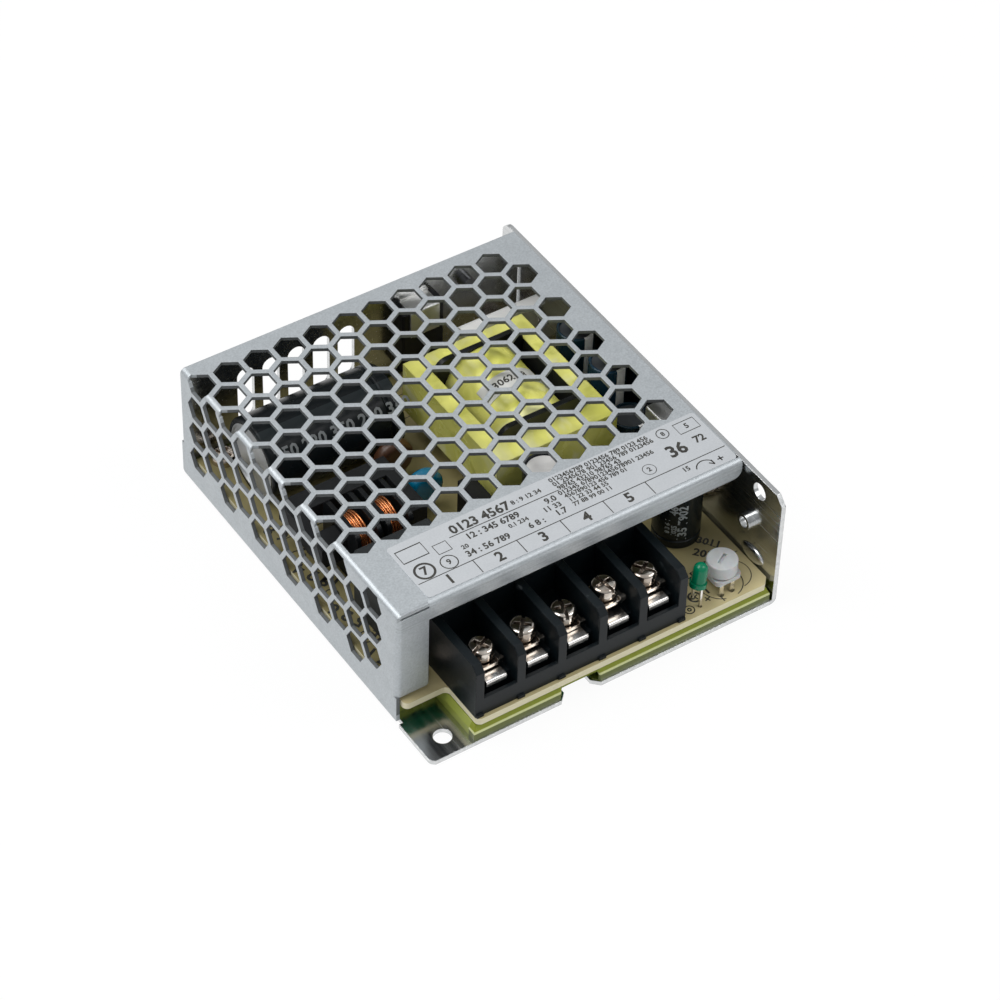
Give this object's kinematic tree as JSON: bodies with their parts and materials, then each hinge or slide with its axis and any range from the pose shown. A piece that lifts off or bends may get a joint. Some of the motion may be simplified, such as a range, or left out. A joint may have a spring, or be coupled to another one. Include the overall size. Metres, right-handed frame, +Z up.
{
  "type": "mesh case switching power supply",
  "caption": "Open-frame style switching power supply: aluminium chassis, hexagonal mesh cover, barrier terminal block, lamp and output trimmer.",
  "frame": {"origin": "under the middle of the case, on the plane of the base plate", "axes": "+Z up from the base plate, -Y towards the terminals, +X towards the solid side wall"},
  "size_m": [0.082, 0.099, 0.03],
  "materials": {
    "chassis_aluminium": "bright rolled sheet",
    "cover_steel": "satin zinc-coated sheet",
    "screw_steel": "bright nickel plated",
    "film": "thin translucent film",
    "board": "tan laminate",
    "label": "silver printed film, blank",
    "black_plastic": "moulded, fine matt",
    "tinned": "tinned, bright",
    "lamp_green": "tinted epoxy",
    "white_plastic": "milky white moulding",
    "ferrite": "sintered ferrite",
    "yellow_tape": "polyester tape",
    "paper": "white paper",
    "copper_wire": "enamelled copper wire",
    "can_sleeve": "shrink sleeve",
    "box_gray": "gray moulded box",
    "blue_dip": "blue dipped epoxy",
    "brown_dip": "brown dipped resin",
    "spring_steel": "hardened strip"
  },
  "bodies": {
    "case": {"board_screws": "screw_steel", "board_standoffs": "tinned", "box_capacitor": "box_gray", "bridge_rectifier": "black_plastic", "bulk_capacitor": "can_sleeve", "chassis": "chassis_aluminium", "choke_bobbin": "black_plastic", "choke_core": "ferrite", "choke_windings": "copper_wire", "circuit_board": "board", "cover": "cover_steel", "cover_screws": "screw_steel", "disc_capacitor": "blue_dip", "filter_capacitor": "can_sleeve", "fuse": "tinned", "heat_sink": "chassis_aluminium", "indicator_lamp": "lamp_green", "indicator_leads": "tinned", "insulating_sheet": "film", "optocoupler": "black_plastic", "output_capacitor_1": "can_sleeve", "output_capacitor_2": "can_sleeve", "output_capacitor_3": "can_sleeve", "output_rectifier": "black_plastic", "rating_label": "label", "rectifier_clip": "spring_steel", "supply_capacitor": "can_sleeve", "switching_transistor": "black_plastic", "terminal_contact_1": "tinned", "terminal_contact_2": "tinned", "terminal_contact_3": "tinned", "terminal_contact_4": "tinned", "terminal_contact_5": "tinned", "terminal_housing": "black_plastic", "thermistor": "brown_dip", "transformer_bobbin": "black_plastic", "transformer_core_front": "ferrite", "transformer_core_rear": "ferrite", "transformer_label": "paper", "transformer_tape": "yellow_tape", "transformer_winding": "yellow_tape", "transistor_clip": "spring_steel", "trimmer_base": "white_plastic", "trimmer_legs": "tinned"},
    "adjuster": {"trimmer_rotor": "white_plastic"},
    "clamp_1": {"clamp_washer_1": "screw_steel", "lock_washer_1": "screw_steel"},
    "screw_1": {"terminal_screw_1": "screw_steel"},
    "clamp_2": {"clamp_washer_2": "screw_steel", "lock_washer_2": "screw_steel"},
    "screw_2": {"terminal_screw_2": "screw_steel"},
    "clamp_3": {"clamp_washer_3": "screw_steel", "lock_washer_3": "screw_steel"},
    "screw_3": {"terminal_screw_3": "screw_steel"},
    "clamp_4": {"clamp_washer_4": "screw_steel", "lock_washer_4": "screw_steel"},
    "screw_4": {"terminal_screw_4": "screw_steel"},
    "clamp_5": {"clamp_washer_5": "screw_steel", "lock_washer_5": "screw_steel"},
    "screw_5": {"terminal_screw_5": "screw_steel"}
  },
  "joints": [
    {"name": "output_adjuster", "type": "hinge", "parent": "case", "child": "adjuster", "pos_m": [0.0308, -0.0439, 0.0118], "axis": [0, 0, 1], "range_deg": [-120, 120]},
    {"name": "clamp_lift_1", "type": "slide", "parent": "case", "child": "clamp_1", "axis": [0, 0, 1], "range_m": [-0.0005, 0.0021]},
    {"name": "screw_turn_1", "type": "hinge", "parent": "clamp_1", "child": "screw_1", "pos_m": [-0.02465, -0.0412, 0.0155], "axis": [0, 0, 1], "range_deg": [-360, 1512]},
    {"name": "clamp_lift_2", "type": "slide", "parent": "case", "child": "clamp_2", "axis": [0, 0, 1], "range_m": [-0.0008, 0.0018]},
    {"name": "screw_turn_2", "type": "hinge", "parent": "clamp_2", "child": "screw_2", "pos_m": [-0.01515, -0.0412, 0.0155], "axis": [0, 0, 1], "range_deg": [-576, 1296]},
    {"name": "clamp_lift_3", "type": "slide", "parent": "case", "child": "clamp_3", "axis": [0, 0, 1], "range_m": [-0.0002, 0.0024]},
    {"name": "screw_turn_3", "type": "hinge", "parent": "clamp_3", "child": "screw_3", "pos_m": [-0.00565, -0.0412, 0.0155], "axis": [0, 0, 1], "range_deg": [-144, 1728]},
    {"name": "clamp_lift_4", "type": "slide", "parent": "case", "child": "clamp_4", "axis": [0, 0, 1], "range_m": [-0.0017, 0.0009]},
    {"name": "screw_turn_4", "type": "hinge", "parent": "clamp_4", "child": "screw_4", "pos_m": [0.00385, -0.0412, 0.0155], "axis": [0, 0, 1], "range_deg": [-1224, 648]},
    {"name": "clamp_lift_5", "type": "slide", "parent": "case", "child": "clamp_5", "axis": [0, 0, 1], "range_m": [-0.0006, 0.002]},
    {"name": "screw_turn_5", "type": "hinge", "parent": "clamp_5", "child": "screw_5", "pos_m": [0.01335, -0.0412, 0.0155], "axis": [0, 0, 1], "range_deg": [-432, 1440]}
  ],
  "couplings": [
    {"joint": "screw_turn_1", "follows": "clamp_lift_1", "rad_per_m": 12566},
    {"joint": "screw_turn_2", "follows": "clamp_lift_2", "rad_per_m": 12566},
    {"joint": "screw_turn_3", "follows": "clamp_lift_3", "rad_per_m": 12566},
    {"joint": "screw_turn_4", "follows": "clamp_lift_4", "rad_per_m": 12566},
    {"joint": "screw_turn_5", "follows": "clamp_lift_5", "rad_per_m": 12566}
  ]
}
